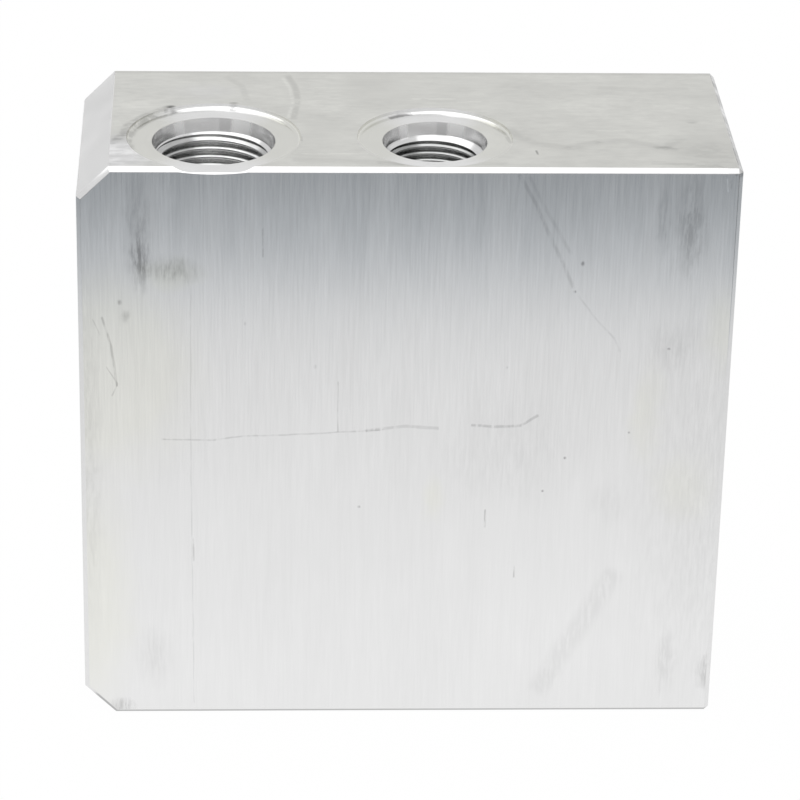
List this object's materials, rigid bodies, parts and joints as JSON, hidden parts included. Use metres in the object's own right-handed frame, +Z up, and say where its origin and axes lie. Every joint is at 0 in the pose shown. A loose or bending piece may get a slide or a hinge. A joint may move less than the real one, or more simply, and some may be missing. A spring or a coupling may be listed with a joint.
{
  "type": "hydraulic manifold block",
  "caption": "Rectangular aluminium manifold block with O-ring ports on its top face, their outlets on the rear face, and tapped mounting holes.",
  "frame": {"origin": "centre of the bottom face that the block rests on", "axes": "+X to the right along the width, +Y from the plain front face to the rear face with the outlets, +Z up to the face with the two top ports"},
  "size_m": [0.1524, 0.061, 0.144],
  "materials": {
    "block": "bare extruded and milled aluminium, fine vertical brush lines on the faces, bright turned ports"
  },
  "bodies": {
    "root": {"manifold_block": "block"}
  },
  "joints": []
}
